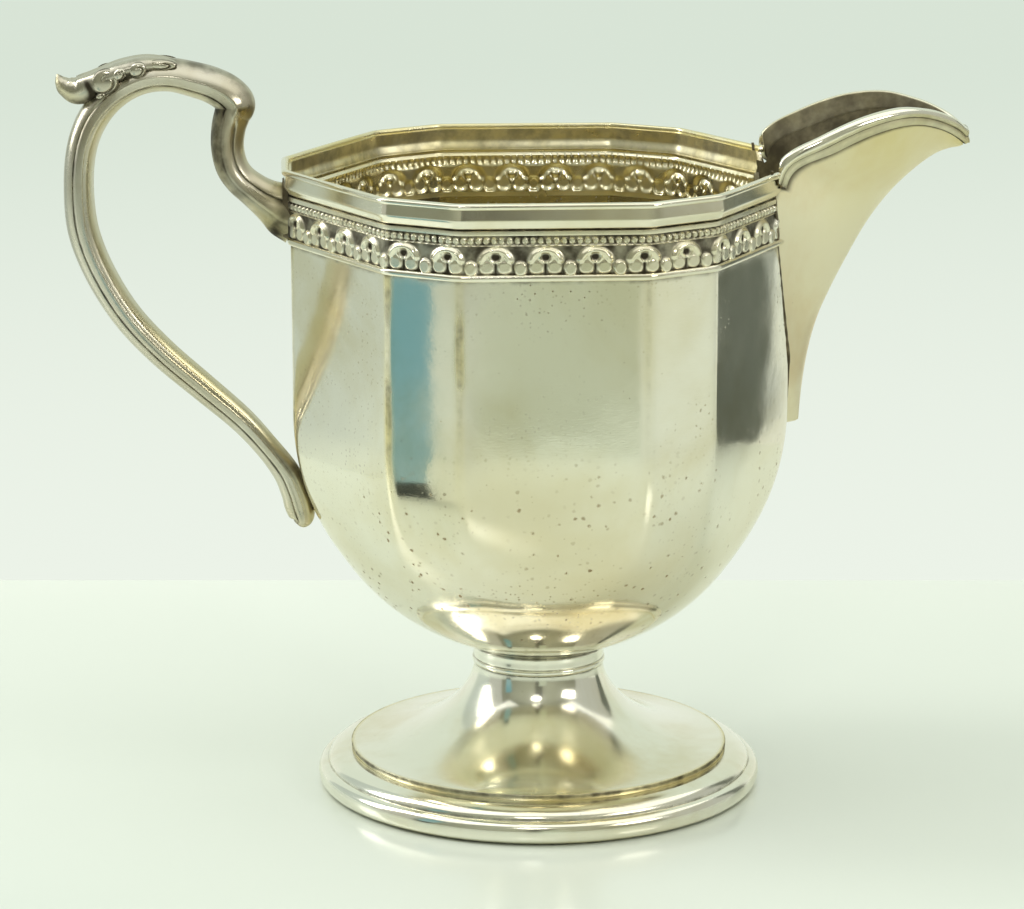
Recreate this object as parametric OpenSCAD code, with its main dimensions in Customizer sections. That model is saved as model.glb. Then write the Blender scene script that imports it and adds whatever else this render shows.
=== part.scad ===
// Cream jug on a trumpet foot: panelled bowl, die-rolled band, beak spout and broken C-scroll handle.
// The origin is the centre of the foot on the table, +X points to the spout and -X to the handle.

/* [Foot] */
// Radius of the moulded edge that the jug stands on
foot_r = 33; // [31.5:0.1:35]
// Radius of the flat disc inside the moulded edge
disc_r = 28.2; // [26:0.1:28.6]
// Height of the disc's edge
disc_z = 6.2; // [5.8:0.1:7]
// Radius of the foot's neck
neck_r = 9.7; // [9:0.1:10.5]
// Height of the foot's neck
neck_z = 18.4; // [17:0.1:20]
// Sheet thickness of the foot
foot_wall = 0.9; // [0.7:0.05:1.1]

/* [Bowl] */
// Radius from the axis to the bowl's corners
bowl_r = 36.9; // [35:0.1:38]
// Half of the angle that a wide panel spans, in degrees
panel_half = 21.1; // [18:0.1:24]
// Height at which the straight wall turns into the round bottom
round_z = 58; // [56:0.5:60]
// Depth of the round bottom below that height
round_depth = 37.7; // [37.3:0.1:37.9]
// Height of the bowl's flat seat on the collar
seat_z = 21.7; // [21.5:0.1:22.2]
// Sheet thickness of the bowl and the trim
wall = 0.9; // [0.7:0.05:1.1]

/* [Band and lip] */
// Height of the bowl's top edge, where the lower moulding starts
band_z = 84; // [82:0.1:84.4]
// Height of the lower moulding
moulding_h = 1.0; // [0.8:0.1:1.2]
// Height of the ornament strip
strip_h = 6.1; // [5.6:0.1:6.4]
// Height of the plain flared collar
lip_collar_h = 2.7; // [2.2:0.1:3]
// Height of the wire that finishes the lip
lip_wire_h = 0.8; // [0.6:0.1:1]
// Outer radius of the lip at its corners
lip_r = 38.2; // [37.8:0.1:39]

/* [Spout] */
// Half width of the spout's root at the lip
root_half = 13; // [12:0.1:13.4]
// Half width of the spout's root at its foot
root_tail = 1.4; // [1:0.1:2]
// Height of the spout's lowest point
spout_z = 54.5; // [53:0.5:56]
// Sheet thickness of the spout
spout_wall = 1.0; // [0.8:0.05:1.1]
// Height of the moulded edging round the mouth
edging_h = 3.4; // [3:0.1:3.8]

/* [Handle] */
// Depth of the handle across its scroll
handle_d = 6.6; // [6:0.1:7.4]
// Distance of the handle's root face from the axis
handle_root_x = 38.4; // [38.3:0.05:38.6]

/* [Hidden] */
$fn = 96;
silver = "#c9c2ae";
bright_silver = "#dcdad2";
dull_silver = "#a49a80";

trumpet_power = 1.78;       // superellipse power of the foot's flare
curve_steps = 24;           // straight pieces in a turned curve
tiny = 0.03;                // clearance where two pieces are soldered
strip_z = band_z + moulding_h;
collar_z = strip_z + strip_h;
lip_wire_z = collar_z + lip_collar_h;
lip_z = lip_wire_z + lip_wire_h;
moulding_r = bowl_r + 0.5;
strip_r = bowl_r + 0.15;
fillet_r = bowl_r + 0.45;
collar_foot_r = bowl_r + 0.35;

// ---- curves ----

// Point at distance t (in rows) along a smooth curve through the rows of a list
function along(rows, t) =
    let (last = len(rows) - 1, i = min(floor(t), last - 1), f = t - i,
        a = rows[max(i - 1, 0)], b = rows[i], c = rows[i + 1], d = rows[min(i + 2, last)])
    0.5 * (2 * b + (c - a) * f + (2 * a - 5 * b + 4 * c - d) * pow(f, 2)
        + (3 * b - a - 3 * c + d) * pow(f, 3));
function unit(v) = v / norm(v);
// Radius of a quarter superellipse that opens outward from a neck down to a disc
function trumpet_r(z, t) =
    disc_r - (disc_r - neck_r + t)
    * pow(1 - pow((neck_z - z) / (neck_z - disc_z + t), trumpet_power), 1 / trumpet_power);
function trumpet_z(k, t) = neck_z - (neck_z - disc_z + t) * sin(90 * k / curve_steps);
function trumpet(t) = [for (k = [0:curve_steps]) [trumpet_r(trumpet_z(k, t), t), trumpet_z(k, t)]];

// ---- plan of the bowl: six wide panels with six narrow ones between, corners on one circle ----

narrow_half = 30 - panel_half;
function plan_ring(r) = [for (k = [0:5]) each
    [r * [cos(60 * k - narrow_half), sin(60 * k - narrow_half)],
     r * [cos(60 * k + narrow_half), sin(60 * k + narrow_half)]]];
// Distance from the axis to the plan's outline on the spout side, at half width v
function plan_x(r, v) =
    abs(v) < r * sin(narrow_half) ? r * cos(narrow_half)
    : (r * cos(panel_half) - abs(v) * sin(30)) / cos(30);

module panel_ring(r, t, z, h) {
    translate([0, 0, z]) linear_extrude(h) difference() {
        polygon(plan_ring(r));
        polygon(plan_ring(r - t));
    }
}

// ---- loft of closed rings ----

module loft(rings) {
    m = len(rings[0]);
    n = len(rings);
    sides = [for (i = [0:n - 2], j = [0:m - 1]) let (k = (j + 1) % m)
        each [[i * m + j, i * m + k, (i + 1) * m + k], [i * m + j, (i + 1) * m + k, (i + 1) * m + j]]];
    polyhedron([for (r = rings) each r],
        concat([[for (j = [m - 1:-1:0]) j]], sides, [[for (j = [0:m - 1]) (n - 1) * m + j]]));
}
// The same for rings that are thin strips: the first half runs out, the second half runs back
module strip_loft(rings) {
    m = len(rings[0]);
    n = len(rings);
    end = (n - 1) * m;
    sides = [for (i = [0:n - 2], j = [0:m - 1]) let (k = (j + 1) % m)
        each [[i * m + j, i * m + k, (i + 1) * m + k], [i * m + j, (i + 1) * m + k, (i + 1) * m + j]]];
    caps = [for (j = [0:m / 2 - 2]) let (a = m - 1 - j, b = m - 2 - j) each
        [[j + 1, j, a], [j + 1, a, b], [end + j, end + j + 1, end + a], [end + j + 1, end + b, end + a]]];
    polyhedron([for (r = rings) each r], concat(sides, caps));
}

// ---- foot ----

module foot() {
    // Trumpet spun from one sheet, with a flat seat under its edge for the moulded wire
    color(bright_silver) rotate_extrude() polygon(concat(
        trumpet(0),
        [[disc_r, disc_z - foot_wall], [disc_r - 1.7, disc_z - foot_wall]],
        [for (k = [curve_steps - 2:-1:0]) trumpet(foot_wall)[k]]));
}

module foot_wire() {
    // Rolled moulding: a small ovolo, a groove and a round lip
    lip_rad = 1.9;
    lip_at = [foot_r - lip_rad, 2.4];
    top = disc_z - foot_wall;
    color(bright_silver) rotate_extrude() polygon(concat(
        [[disc_r - 1.7, top], [disc_r + 0.3, top]],
        [for (a = [75:-15:15]) [disc_r + 0.6, 3.9] + [2.1 * cos(a), 1.35 * sin(a)]],
        [for (a = [80:-10:-60]) lip_at + lip_rad * [cos(a), sin(a)]],
        [[foot_r - 1.3, 0], [foot_r - 3.4, 0], [foot_r - 4, 2.6], [disc_r - 1.7, 4.2]]));
}

module foot_solder_ring() {
    // Fillet of solder in the corner between the foot's inside and the collar
    depth = 1.4;
    color(dull_silver) rotate_extrude() polygon(concat(
        [[neck_r - foot_wall - 1.6, neck_z]],
        [for (k = [0:4]) [trumpet_r(neck_z - depth * k / 4, foot_wall), neck_z - depth * k / 4]],
        [[neck_r - foot_wall - 0.5, neck_z - 0.5]]));
}

module stem_collar() {
    // Turned ring with a cove between the foot and the bowl
    h = seat_z - neck_z;
    cove = 0.55;
    color(silver) rotate_extrude() polygon(concat(
        [[neck_r - 4, neck_z], [neck_r + 0.2, neck_z]],
        [for (k = [0:10]) [neck_r + 0.25 - cove * sin(18 * k), neck_z + h * (0.15 + 0.075 * k)]],
        [[neck_r + 0.25, seat_z], [neck_r - 4, seat_z]]));
}

// ---- bowl ----

// Half section of the round-bottomed bowl body, t inside its outer surface
module bowl_section(t, bottom, top) {
    low = asin((round_z - bottom) / (round_depth - t));
    polygon(concat(
        [[0, bottom]],
        [for (k = [curve_steps:-1:0]) let (a = low * k / curve_steps)
            [(bowl_r - t) * cos(a), round_z - (round_depth - t) * sin(a)]],
        [[bowl_r - t, top], [0, top]]));
}
module bowl_solid(t, bottom, top) {
    intersection() {
        rotate_extrude() bowl_section(t, bottom, top);
        translate([0, 0, bottom]) linear_extrude(top - bottom) polygon(plan_ring(bowl_r - t));
    }
}
// Half width of the spout's root at height z
function root_w(z) = root_tail + (root_half - root_tail) * (z - spout_z) / (lip_z - spout_z);

// The V-shaped opening behind the spout, grown sideways by g
module spout_opening(g) {
    low = spout_z + 3;
    high = lip_z + 5;
    translate([bowl_r - 12, 0, 0]) rotate([90, 0, 90]) linear_extrude(20)
        polygon([[-root_w(low) - g, low], [root_w(low) + g, low],
            [root_w(high) + g, high], [-root_w(high) - g, high]]);
}

module bowl() {
    // Raised and panelled shell, open at the top and cut in a V behind the spout
    color(silver) difference() {
        bowl_solid(0, seat_z, band_z);
        bowl_solid(wall, seat_z + wall, band_z + 1);
        spout_opening(-spout_wall);
    }
}

module lower_moulding() {
    // Wire soldered under the ornament strip
    color(silver) difference() {
        panel_ring(moulding_r, wall + 0.5, band_z, moulding_h);
        spout_opening(0.2);
    }
}

module border_band() {
    // Die-rolled strip with two raised fillets
    color(silver) difference() {
        union() {
            panel_ring(strip_r, wall, strip_z, strip_h);
            panel_ring(fillet_r, wall, strip_z + 3.7, 0.35);
            panel_ring(fillet_r, wall, strip_z + strip_h - 1, 0.7);
        }
        spout_opening(0.2);
    }
}

module rim_collar() {
    // Plain strip that flares from the band to the lip
    flare = (lip_r - 0.1) / collar_foot_r;
    inner = collar_foot_r - wall;
    color(silver) difference() {
        translate([0, 0, collar_z]) difference() {
            linear_extrude(lip_collar_h, scale = flare) polygon(plan_ring(collar_foot_r));
            linear_extrude(lip_collar_h, scale = (lip_r - 0.1 - wall) / inner) polygon(plan_ring(inner));
        }
        spout_opening(-spout_wall - 0.6);
    }
}

module rim_wire() {
    // Wire that thickens the lip
    color(bright_silver) difference() {
        panel_ring(lip_r, wall + 0.25, lip_wire_z, lip_wire_h);
        spout_opening(-spout_wall - 0.6);
    }
}

// ---- spout ----

// Rows of the spout: keel x and z, then half width, x and z of the mouth's edge or of the root
function root_row(keel_x, keel_z, z) = [keel_x, keel_z, root_w(z), plan_x(bowl_r, root_w(z)), z];
SPOUT = [
    root_row(38.2, 54.5, 54.8),
    root_row(38.6, 60, 62),
    root_row(39.6, 65.5, 70),
    root_row(41.2, 70.5, 77),
    root_row(43.1, 75, 83.5),
    root_row(45.6, 80, 90),
    [48.4, 85, 13.2, 33.8, 96],
    [51.6, 89.3, 13.3, 39.8, 99.4],
    [55, 92.6, 11.6, 46, 101.9],
    [58, 94.8, 8.9, 51.8, 102.9],
    [60.2, 95.9, 5.7, 56.5, 102.2],
    [61.8, 96.7, 2.6, 60.2, 100.3],
    [62.6, 97.5, 0.7, 62.2, 98.4]];
corner_row = 6;
nib_row = 10.9;
keel_round = 0.3;

function keel_at(t) = let (p = along(SPOUT, t)) [p[0], 0, p[1]];
function edge_at(t) = let (p = along(SPOUT, t)) [p[3], p[2], p[4]];
// Share of the flank that the plain sheet takes; the edging has the rest
function sheet_share(t) =
    1 - (t < corner_row - 1 ? 0 : min(1, t - corner_row + 1)) * edging_h / norm(edge_at(t) - keel_at(t));
// Rounded V: s runs from -1 at one edge over 0 at the keel to 1 at the other
function vee(s) = (sqrt(s * s + keel_round * keel_round) - keel_round)
    / (sqrt(1 + keel_round * keel_round) - keel_round);
function flank(t, s) =
    let (k = keel_at(t), e = edge_at(t), d = e - k)
    [k[0] + d[0] * vee(s), d[1] * s, k[2] + d[2] * vee(s)];
function flank_normal(t, s) =
    unit(cross(flank(t, s + 0.02) - flank(t, s - 0.02), flank(t + 0.02, s) - flank(t - 0.02, s)));
// A point moved in by t along the surface's normal and kept clear of the bowl's wall
function clear_of_wall(p, r) = [max(p[0], plan_x(r, p[1]) + tiny), p[1], p[2]];
function sheet_point(t, s, depth) =
    clear_of_wall(flank(t, s) - depth * flank_normal(min(max(t, 0.03), 11.9), s), bowl_r);

module spout_shell() {
    // Sheet folded to a rounded V, from the root to the edging
    across = 12;
    end_row = 10.8;
    steps = 36;
    color(silver) strip_loft([for (i = [0:steps]) let (t = end_row * i / steps, w = sheet_share(t)) concat(
        [for (j = [across:-1:-across]) sheet_point(t, w * j / across, 0)],
        [for (j = [-across:across]) sheet_point(t, w * j / across, spout_wall)])]);
}

// Ring of the edging at row t: out is how far it stands proud, the rest of its depth is inside
function edging_ring(t) =
    let (w = sheet_share(t), n = flank_normal(min(t, 11.9), 0.9), out = 0.5, inside = spout_wall,
        top = flank(t, 1), foot_line = flank(t, w) + tiny * unit(top - flank(t, w)))
    [for (p = [foot_line - inside * n, top - inside * n, top + out * n,
        (top + foot_line) / 2 + out * 0.7 * n, foot_line + 0.3 * n]) clear_of_wall(p, lip_r)];

// Ring of the nib in the middle plane, with its points in the same order
NIB = [[60.5, 0, 97.9], [61.1, 0, 99.3], [62.7, 0, 98.7], [62.8, 0, 97.9], [61.9, 0, 97.1]];

module spout_edge_wire() {
    // Thick moulded edging round the mouth, in one length that is bent to a nib at the tip
    steps = 20;
    start = corner_row + 0.05;
    half = [for (i = [0:steps]) edging_ring(start + (nib_row - start) * i / steps)];
    other = [for (i = [steps:-1:0]) [for (p = half[i]) [p[0], -p[1], p[2]]]];
    color(bright_silver) loft(concat(half, [NIB], other));
}

// Corner of solder between the wall and the spout's flank at row t
function seam_ring(t) =
    let (p = edge_at(t), k = keel_at(t), r = p[2] > band_z ? fillet_r : bowl_r, g = 0.6)
    [[plan_x(r, p[1] + 0.25) + 2 * tiny, p[1] + 0.25, p[2]],
     [plan_x(r, p[1] + g) + 2 * tiny, p[1] + g, p[2]],
     [plan_x(r, p[1] + 0.25) + g, p[1] + 0.25 - 0.2 * g, p[2]]];

module seam_half() {
    steps = 14;
    loft([for (i = [0:steps]) seam_ring(0.15 + 3.85 * i / steps)]);
}

module spout_solder_seam() {
    // Fillet of solder down both sides of the spout's root
    color(dull_silver) {
        seam_half();
        mirror([0, 1, 0]) seam_half();
    }
}

// ---- handle ----

// Rows of the handle: x and z of its middle, width in its plane, depth as a share of handle_d
HANDLE = [
    [-handle_root_x, 88.2, 10.2, 1.06],
    [-40, 88.8, 7.4, 1.02],
    [-41.8, 89.9, 5.6, 1],
    [-43.6, 91.6, 4.9, 1],
    [-44.9, 94, 4.8, 1],
    [-45.4, 96.8, 4.8, 1],
    [-45.2, 99.6, 5, 1],
    [-44.5, 102.4, 5.6, 1.04],
    [-46, 104.8, 5.4, 1.04],
    [-49.4, 106.7, 5.2, 1.02],
    [-53.8, 107.5, 4.9, 1],
    [-58, 107, 4.8, 0.96],
    [-61.8, 104.8, 4.5, 0.92],
    [-64.8, 101.4, 4.5, 0.9],
    [-66.6, 97, 4.4, 0.9],
    [-67.2, 91.4, 4.4, 0.9],
    [-66.7, 84.8, 4.6, 0.92],
    [-64.4, 78.4, 4.6, 0.94],
    [-60.6, 72, 4.5, 0.94],
    [-55.6, 66.4, 4.4, 0.92],
    [-49.8, 61.2, 4.2, 0.9],
    [-44.2, 56.2, 3.9, 0.88],
    [-40.4, 51.8, 3.4, 0.86],
    [-38.1, 47.6, 2.7, 0.84],
    [-36.6, 43.8, 2.3, 0.84],
    [-35.7, 41, 1.7, 0.78]];

// Ring of n points round row t of a scroll in the XZ plane; a squarish oval
function scroll_ring(rows, t, depth, n) =
    let (p = along(rows, t), last = len(rows) - 1,
        q = along(rows, min(t + 0.05, last)) - along(rows, max(t - 0.05, 0)),
        dir = unit([q[0], q[1]]), square = 0.8)
    [for (k = [0:n - 1]) let (a = -360 * k / n,
        c = sign(cos(a)) * pow(abs(cos(a)), square), s = sign(sin(a)) * pow(abs(sin(a)), square))
        [p[0] + dir[1] * p[2] / 2 * c, depth * p[3] / 2 * s, p[1] - dir[0] * p[2] / 2 * c]];

module scroll(rows, depth, per_row, n) {
    steps = (len(rows) - 1) * per_row;
    loft([for (i = [0:steps]) scroll_ring(rows, i / per_row, depth, n)]);
}

module handle() {
    // Cast broken C-scroll, flared where it meets the band and drawn out to a tail below
    color(silver) scroll(HANDLE, handle_d, 3, 20);
}

// Rows of the leaf: x and z of its middle, thickness, width as a share of leaf_w
leaf_w = 8;
LEAF = [
    [-52.5, 110.4, 0.4, 0.3],
    [-56, 110.2, 0.7, 0.7],
    [-60, 109.2, 1.2, 0.95],
    [-63, 107.8, 2, 1],
    [-65.3, 106.5, 2.6, 0.85],
    [-67.2, 105.8, 2.9, 0.6],
    [-68.6, 106.4, 1.9, 0.36],
    [-69.5, 107.3, 0.8, 0.2]];

module thumb_leaf() {
    // Cast leaf that lies over the scroll and curls up as a thumb rest
    color(silver) scroll(LEAF, leaf_w, 3, 16);
}

module handle_upper_solder() {
    // Solder between the handle's root and the trim, stepped to sit on each strip
    half = 3.2;
    flat = cos(narrow_half);
    color(dull_silver)
        for (step = [[bowl_r, 83.2, band_z], [moulding_r, band_z, strip_z],
                [fillet_r, strip_z, collar_z], [lip_r - 0.2, collar_z, 93]])
            translate([-handle_root_x, -half, step[1]])
                cube([handle_root_x - step[0] * flat, 2 * half, step[2] - step[1]]);
}

module handle_lower_solder() {
    // Film of solder between the handle's tail and the bowl
    film = 0.3;
    half = 2.2;
    color(dull_silver) intersection() {
        difference() {
            rotate_extrude() translate([film, 0]) bowl_section(0, seat_z, band_z);
            rotate_extrude() bowl_section(0, seat_z, band_z);
        }
        translate([-bowl_r - 1, -half, 42]) cube([8, 2 * half, 6]);
    }
}

foot();
foot_wire();
foot_solder_ring();
stem_collar();
bowl();
lower_moulding();
border_band();
rim_collar();
rim_wire();
spout_shell();
spout_edge_wire();
spout_solder_seam();
handle();
thumb_leaf();
handle_upper_solder();
handle_lower_solder();
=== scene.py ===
from math import asin, cos, pi, radians, sin, sqrt

import bpy
import numpy as np
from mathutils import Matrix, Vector


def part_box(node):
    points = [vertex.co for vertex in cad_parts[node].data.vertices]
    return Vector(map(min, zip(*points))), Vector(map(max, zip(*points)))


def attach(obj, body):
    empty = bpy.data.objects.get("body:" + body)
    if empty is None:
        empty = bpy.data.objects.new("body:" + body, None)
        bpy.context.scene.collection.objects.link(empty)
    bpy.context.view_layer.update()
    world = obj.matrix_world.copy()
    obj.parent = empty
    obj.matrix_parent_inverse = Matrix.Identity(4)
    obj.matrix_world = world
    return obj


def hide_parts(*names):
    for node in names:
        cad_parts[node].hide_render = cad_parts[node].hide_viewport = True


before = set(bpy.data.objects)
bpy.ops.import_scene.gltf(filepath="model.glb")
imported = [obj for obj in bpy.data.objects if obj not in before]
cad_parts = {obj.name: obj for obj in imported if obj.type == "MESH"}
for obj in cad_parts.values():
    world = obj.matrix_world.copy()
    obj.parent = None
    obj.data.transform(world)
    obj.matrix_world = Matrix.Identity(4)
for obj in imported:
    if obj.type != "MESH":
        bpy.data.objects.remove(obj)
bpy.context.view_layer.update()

# Lengths in this script are millimetres until a mesh is made; MM turns them into metres.
MM = 0.001


# ---- the frame's driving sizes, read off the CAD nodes ----

def low(node):
    return np.array(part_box(node)[0]) / MM


def high(node):
    return np.array(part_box(node)[1]) / MM


PANEL_HALF = radians(21.1)
NARROW_HALF = radians(30) - PANEL_HALF
WALL = 0.9
BOWL_R = high("border_band")[1] / cos(PANEL_HALF) - 0.45
# The band, its mouldings and the lip sit a little below their places in the CAD
SEAT_Z, BAND_Z = low("bowl")[2], high("bowl")[2] - 0.8
STRIP_Z, COLLAR_Z = low("border_band")[2] - 0.75, high("border_band")[2] - 0.55
LIP_Z = high("rim_wire")[2] - 0.25
LIP_R = high("rim_wire")[1] / cos(PANEL_HALF)
# Where the bowl's rounding starts and how deep it is, and the spout root's half widths
ROUND_Z, ROUND_DEPTH = 58.0, 37.7
SPOUT_Z = low("spout_shell")[2]
ROOT_HALF, ROOT_TAIL = 12.3, 1.4
FOOT_R = high("foot_wire")[0]
DISC_R = high("foot")[0]
NECK_Z = high("foot")[2]
NECK_R, DISC_Z, FOOT_WALL = 9.7, 6.2, 0.9


# ---- small curves ----

def smooth(lo, hi, x):
    """Smooth step: 0 below lo, 1 above hi and 3t^2 - 2t^3 between them."""
    t = np.clip((x - lo) / (hi - lo), 0, 1)
    return t * t * (3 - 2 * t)


def hump(x, width):
    """Bell curve exp(-(x / width)^2)."""
    return np.exp(-(x / width) ** 2)


def along(rows, t):
    """Catmull-Rom curve through the rows of a list, at the distances t counted in rows."""
    rows, t = np.asarray(rows, float), np.asarray(t, float)
    last = len(rows) - 1
    i = np.clip(np.floor(t).astype(int), 0, last - 1)
    f = (t - i)[..., None]
    a, b = rows[np.maximum(i - 1, 0)], rows[i]
    c, d = rows[i + 1], rows[np.minimum(i + 2, last)]
    return 0.5 * (2 * b + (c - a) * f + (2 * a - 5 * b + 4 * c - d) * f ** 2
                  + (3 * b - a - 3 * c + d) * f ** 3)


def ripple(x, y, z, scale):
    """Slow wandering between -1 and 1: the mean of three sine waves that run across each other."""
    return (np.sin(x / scale + 1.7 * np.sin(z / scale)) + np.sin(y / scale * 1.3 + 2.1)
            + np.sin((z * 1.1 + x * 0.6 - y * 0.4) / scale + 0.7)) / 3


def by_handle(phi, away, width):
    """Bell curve that far away, in mm round the bowl, from the handle's middle on both sides."""
    return hump(np.abs((phi % (2 * pi)) - pi) * BOWL_R - away, width)


def squared(v, power):
    """Signed power |v|^power, which makes a circle's cosine and sine squarer."""
    return np.sign(v) * np.abs(v) ** power


# ---- meshes from grids ----

def grid_faces(rows, columns, wrap_rows=False, wrap_columns=False):
    """Quads of a grid of points numbered row by row, each joined to the next row and column."""
    i = np.arange(rows if wrap_rows else rows - 1)
    j = np.arange(columns if wrap_columns else columns - 1)
    i, j = np.meshgrid(i, j, indexing="ij")
    i2, j2 = (i + 1) % rows, (j + 1) % columns
    quads = [i * columns + j, i * columns + j2, i2 * columns + j2, i2 * columns + j]
    return np.stack(quads, -1).reshape(-1, 4)


def polar(r, angle, z):
    """Points from a radius, an angle round the axis and a height."""
    return np.stack([r * np.cos(angle), r * np.sin(angle), z + 0 * angle], -1)


def outward(points, quads, polygons):
    """Turns every face round if the volume that they enclose comes out negative."""
    a, b, c, d = (points[quads[:, k]] for k in range(4))
    volume = (np.cross(b - a, c - a) * a).sum() + (np.cross(c - a, d - a) * a).sum()
    if volume < 0:
        return quads[:, ::-1], [p[::-1] for p in polygons]
    return quads, polygons


def make(name, points, quads, polygons, slot, nodes, tarnish_and_shade, crease=35, gilt=0.0):
    """A piece on the jug's one body, from points in mm, quads and a few end polygons. soil is how much
    dark tarnish lies at each point, with painted shade and painted reflection in a few places, and gilt
    how golden it has turned, both from 0 to 1.
    Edges are sharp where the faces meet at more than crease degrees."""
    points = np.asarray(points, float).reshape(-1, 3)
    quads, polygons = outward(points, quads, polygons)
    mesh = bpy.data.meshes.new(name)
    faces = quads.tolist() + [p.tolist() for p in polygons]
    mesh.from_pydata((points * MM).tolist(), [], faces)
    mesh.shade_smooth()
    mesh.set_sharp_from_angle(angle=radians(crease))
    for label, share in (("tarnish_and_shade", tarnish_and_shade), ("gilt", gilt)):
        attribute = mesh.attributes.new(label, "FLOAT", "POINT")
        values = np.broadcast_to(np.asarray(share, float).ravel(), len(points))
        attribute.data.foreach_set("value", np.clip(values, 0, 1))
    mesh.materials.append(finishes[slot])
    obj = bpy.data.objects.new(name, mesh)
    bpy.context.scene.collection.objects.link(obj)
    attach(obj, "root")
    if nodes:
        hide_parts(*nodes)


def make_turned(name, profile, slot, nodes, columns, tarnish_and_shade, crease=35, gilt=0.0):
    """A ring: the closed profile of (r, z) points carried round the axis."""
    profile = np.asarray(profile, float)
    angle = np.linspace(0, 2 * pi, columns, endpoint=False)[:, None]
    points = polar(profile[:, 0], angle, profile[:, 1])
    quads = grid_faces(columns, len(profile), True, True)
    tarnish_and_shade, gilt = (np.broadcast_to(a, points.shape[:2]) for a in (tarnish_and_shade, gilt))
    make(name, points, quads, [], slot, nodes, tarnish_and_shade, crease, gilt)


def make_tube(name, rings, slot, nodes, tarnish_and_shade, crease=35, gilt=0.0):
    """A rod: closed rings of points joined along its length, with a flat face on each end."""
    count, size = rings.shape[:2]
    first = np.arange(size)
    last = first[::-1] + (count - 1) * size
    quads = grid_faces(count, size, False, True)
    make(name, rings, quads, [first, last], slot, nodes, tarnish_and_shade, crease, gilt)


def shell_faces(quads, count):
    """Closes a sheet: the outer quads, the same turned round on the inner points, which are
    numbered count further on, and a wall between the two along every open edge."""
    edges = np.concatenate([quads[:, [k, (k + 1) % 4]] for k in range(4)])
    is_open = ~np.isin(edges[:, 0] * count + edges[:, 1], edges[:, 1] * count + edges[:, 0])
    a, b = edges[is_open].T
    return np.concatenate([quads, quads[:, ::-1] + count, np.stack([b, a, a + count, b + count], -1)])


# ---- the bowl's plan and the strips that follow it ----

def plan(phi, sharp):
    """Radius of the plan at angle phi, where the corners are at 1: twelve straight panels, wide
    and narrow by turns, joined by a power mean whose power sharp sets how tight the corners are.
    Also gives how near the middle of its panel each point is, 1 in the middle and 0 at a corner;
    on the narrow panels, which are flatter, it only reaches a tenth."""
    centres = np.radians(np.arange(0, 360, 30))
    half = np.where(np.arange(12) % 2 == 0, NARROW_HALF, PANEL_HALF)
    turn = (phi[..., None] - centres + pi) % (2 * pi) - pi
    nearness = np.maximum(np.cos(turn) / np.cos(half), 0.01)
    top = nearness.max(-1)
    ratio = (nearness / top[..., None]) ** np.asarray(sharp)[..., None]
    most = np.where(half == PANEL_HALF, 1, 0.1)
    middle = (most * (1 - np.clip(np.abs(turn) / half, 0, 1) ** 2)).max(-1)
    return 1 / (top * ratio.sum(-1) ** (1 / np.asarray(sharp))), middle


def panel_columns(narrow, wide):
    """Angles round the plan from the middle of the spout's panel, crowded towards the corners."""
    angles = []
    for k in range(12):
        count, half = (narrow, NARROW_HALF) if k % 2 == 0 else (wide, PANEL_HALF)
        share = np.arange(count) / count * 2 - 1
        angles.append(radians(30 * k) + half * np.sin(share * pi / 2))
    return np.roll(np.concatenate(angles), -narrow // 2)


# The columns of every strip: 18 steps over each narrow panel and 42 over each wide one
COLUMNS = panel_columns(18, 42)


def root_w(z):
    """Half width of the spout's root at height z."""
    up = np.clip((z - SPOUT_Z) / (LIP_Z - SPOUT_Z), 0, 2)
    return ROOT_TAIL + (ROOT_HALF - ROOT_TAIL) * up ** 0.76


def open_angle(z, radius, inset):
    """Half of the angle that the opening behind the spout spans at height z."""
    return np.arcsin(np.clip((root_w(z) - inset) / radius, 0, 0.9))


def bend_columns(phi, opening, tip):
    """Moves the columns next to the spout so that those at +-tip lie on the opening's edges,
    while the spout panel's corners and the next corners on stay where they are if they can."""
    signed = (phi + pi) % (2 * pi) - pi
    side, size = np.sign(signed), np.abs(signed)
    far = 2 * PANEL_HALF + NARROW_HALF
    corner = np.maximum(NARROW_HALF, opening + radians(0.6))
    inner = size / tip * opening
    middle = opening + (size - tip) / (NARROW_HALF - tip) * (corner - opening)
    outer = corner + (size - NARROW_HALF) / (far - NARROW_HALF) * (far - corner)
    moved = np.where(size <= tip, inner, np.where(size <= NARROW_HALF, middle, outer))
    return np.where(size < far, side * moved, signed)


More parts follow.
